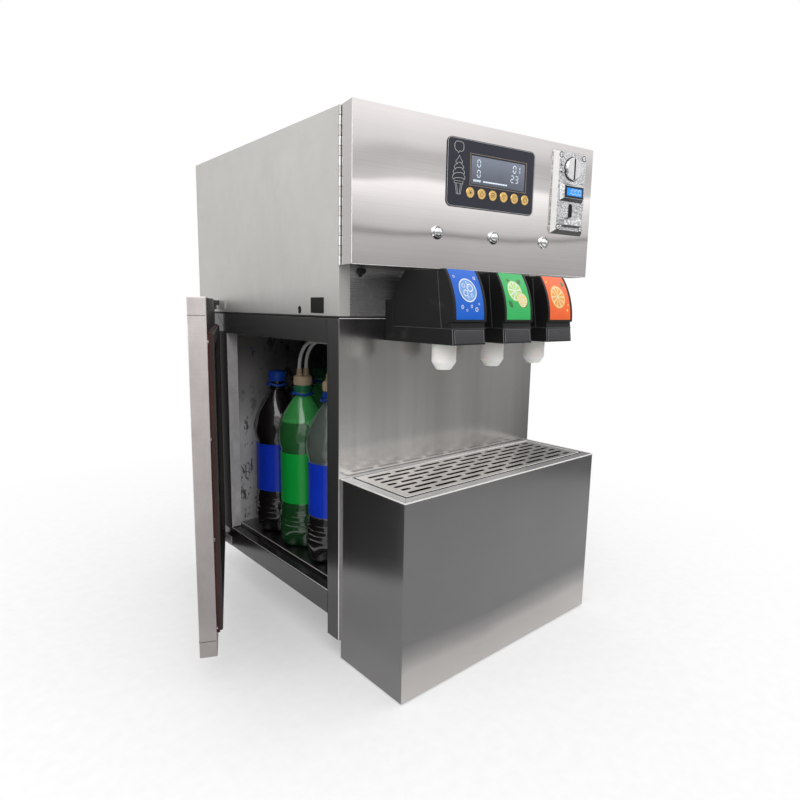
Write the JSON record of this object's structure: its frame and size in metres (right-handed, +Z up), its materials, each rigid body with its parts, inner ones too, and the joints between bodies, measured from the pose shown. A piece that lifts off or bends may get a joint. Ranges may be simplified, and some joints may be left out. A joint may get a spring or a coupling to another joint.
{
  "type": "countertop drinks dispenser",
  "caption": "Countertop coin-operated drinks dispenser with tap valves over a drip box, a hinged control lid and a chilled bottle bay behind a side door.",
  "frame": {"origin": "bottom centre of the whole object's box as it stands, at floor level under the feet", "axes": "+X to the right and +Y to the back seen from the front, +Z up; the valves and the control lid face -Y and the bottle door is on the -X side"},
  "size_m": [0.6044, 0.5914, 0.754],
  "materials": {
    "steel_body": "fine brushed grain, satin",
    "steel_drip": "fine brushed grain, satin, light wear",
    "steel_grate": "punched plate, satin",
    "steel_door": "satin sheet with protective haze",
    "steel_hinge": "bright rolled strip",
    "steel_inner": "plain galvanised sheet",
    "bay_plastic": "vacuum-formed liner over foam, satin",
    "deck_black": "black powder coat",
    "rubber_black": "moulded rubber",
    "gasket": "soft extruded seal",
    "valve_black": "moulded, glossy",
    "valve_base_black": "moulded, fine texture",
    "plate_blue": "coloured face plate, glossy",
    "plate_green": "coloured face plate, glossy",
    "plate_orange": "coloured face plate, glossy",
    "nozzle_white": "moulded, satin",
    "bottle_pet": "blown clear plastic with drink inside",
    "cap_tan": "moulded two-port cap",
    "tube_pale": "flexible drinks tube",
    "compressor_black": "black enamel",
    "condenser_copper": "pressed fins on tubes",
    "fan_plastic": "moulded",
    "tank_plastic": "moulded jacket round a water bath",
    "pump_grey": "enamel",
    "supply_metal": "folded perforated cover",
    "inlet_black": "moulded",
    "overlay": "printed membrane",
    "display": "clear window over a grey display",
    "board": "circuit board",
    "key_gold": "domed key",
    "chrome_button": "polished",
    "coin_metal": "cast, satin lacquer",
    "mech_black": "moulded housing"
  },
  "bodies": {
    "cabinet": {"base_tray": "steel_inner", "rubber_feet": "rubber_black", "side_frame": "steel_body", "splash_panel": "steel_body", "right_panel": "steel_body", "back_panel": "steel_body", "bay_liner": "bay_plastic", "bay_floor": "steel_inner", "drip_box": "steel_drip", "hood": "steel_body", "hood_back": "steel_body", "head_deck": "deck_black", "front_bulkhead": "steel_body", "lid_hinge_fixed": "steel_hinge", "door_hinge_fixed": "steel_hinge", "door_catch": "rubber_black", "valve_base_1": "valve_base_black", "valve_base_2": "valve_base_black", "valve_base_3": "valve_base_black", "valve_cover_1": "valve_black", "valve_cover_2": "valve_black", "valve_cover_3": "valve_black", "valve_plate_1": "plate_blue", "valve_plate_2": "plate_green", "valve_plate_3": "plate_orange", "valve_nozzles": "nozzle_white", "supply_bottles": "bottle_pet", "cap_connectors": "cap_tan", "drink_tubes": "tube_pale", "compressor": "compressor_black", "condenser": "condenser_copper", "fan_shroud": "fan_plastic", "chiller_tank": "tank_plastic", "air_pump": "pump_grey", "power_supply": "supply_metal", "coin_box": "steel_inner", "power_inlet": "inlet_black"},
    "lid": {"lid_panel": "steel_body", "lid_hinge_moving": "steel_hinge", "control_overlay": "overlay", "display_window": "display", "control_board": "board", "button_sockets": "chrome_button", "coin_plate": "coin_metal", "coin_mech": "mech_black"},
    "door": {"door_skin": "steel_door", "door_inner_panel": "steel_inner", "door_gasket": "gasket"},
    "drip_grate": {"drip_grate": "steel_grate"},
    "cooling_fan": {"cooling_fan": "fan_plastic"},
    "coin_return_knob": {"coin_return_knob": "coin_metal"},
    "key_1": {"key_1": "key_gold"},
    "key_2": {"key_2": "key_gold"},
    "key_3": {"key_3": "key_gold"},
    "key_4": {"key_4": "key_gold"},
    "key_5": {"key_5": "key_gold"},
    "key_6": {"key_6": "key_gold"},
    "push_button_1": {"push_button_1": "chrome_button"},
    "push_button_2": {"push_button_2": "chrome_button"},
    "push_button_3": {"push_button_3": "chrome_button"}
  },
  "joints": [
    {"name": "door_hinge", "type": "hinge", "parent": "cabinet", "child": "door", "pos_m": [-0.12182, 0.21025, 0.283], "axis": [0, 0, -1], "range_deg": [-25, 68]},
    {"name": "lid_hinge", "type": "hinge", "parent": "cabinet", "child": "lid", "pos_m": [-0.11782, -0.16465, 0.6555], "axis": [0, 0, -1], "range_deg": [-9.8, 85]},
    {"name": "drip_grate_lift", "type": "slide", "parent": "cabinet", "child": "drip_grate", "axis": [0, 0, 1], "range_m": [0, 0.06]},
    {"name": "cooling_fan_spin", "type": "hinge", "parent": "cabinet", "child": "cooling_fan", "pos_m": [0.21393, 0.23575, 0.1415], "axis": [0, 1, 0], "continuous": true},
    {"name": "coin_return_turn", "type": "hinge", "parent": "lid", "child": "coin_return_knob", "pos_m": [0.23717, -0.26565, 0.716], "axis": [0.1702, 0.9854, 0], "range_deg": [0, 30], "stiffness_Nm_per_rad": 0.06},
    {"name": "key_1_press", "type": "slide", "parent": "lid", "child": "key_1", "axis": [0.1702, 0.9854, 0], "range_m": [0, 0.0008], "stiffness_N_per_m": 1200},
    {"name": "key_2_press", "type": "slide", "parent": "lid", "child": "key_2", "axis": [0.1702, 0.9854, 0], "range_m": [0, 0.0008], "stiffness_N_per_m": 1200},
    {"name": "key_3_press", "type": "slide", "parent": "lid", "child": "key_3", "axis": [0.1702, 0.9854, 0], "range_m": [0, 0.0008], "stiffness_N_per_m": 1200},
    {"name": "key_4_press", "type": "slide", "parent": "lid", "child": "key_4", "axis": [0.1702, 0.9854, 0], "range_m": [0, 0.0008], "stiffness_N_per_m": 1200},
    {"name": "key_5_press", "type": "slide", "parent": "lid", "child": "key_5", "axis": [0.1702, 0.9854, 0], "range_m": [0, 0.0008], "stiffness_N_per_m": 1200},
    {"name": "key_6_press", "type": "slide", "parent": "lid", "child": "key_6", "axis": [0.1702, 0.9854, 0], "range_m": [0, 0.0008], "stiffness_N_per_m": 1200},
    {"name": "push_button_1_press", "type": "slide", "parent": "lid", "child": "push_button_1", "axis": [0.1702, 0.9854, 0], "range_m": [0, 0.0025], "stiffness_N_per_m": 600},
    {"name": "push_button_2_press", "type": "slide", "parent": "lid", "child": "push_button_2", "axis": [0.1702, 0.9854, 0], "range_m": [0, 0.0025], "stiffness_N_per_m": 600},
    {"name": "push_button_3_press", "type": "slide", "parent": "lid", "child": "push_button_3", "axis": [0.1702, 0.9854, 0], "range_m": [0, 0.0025], "stiffness_N_per_m": 600}
  ]
}
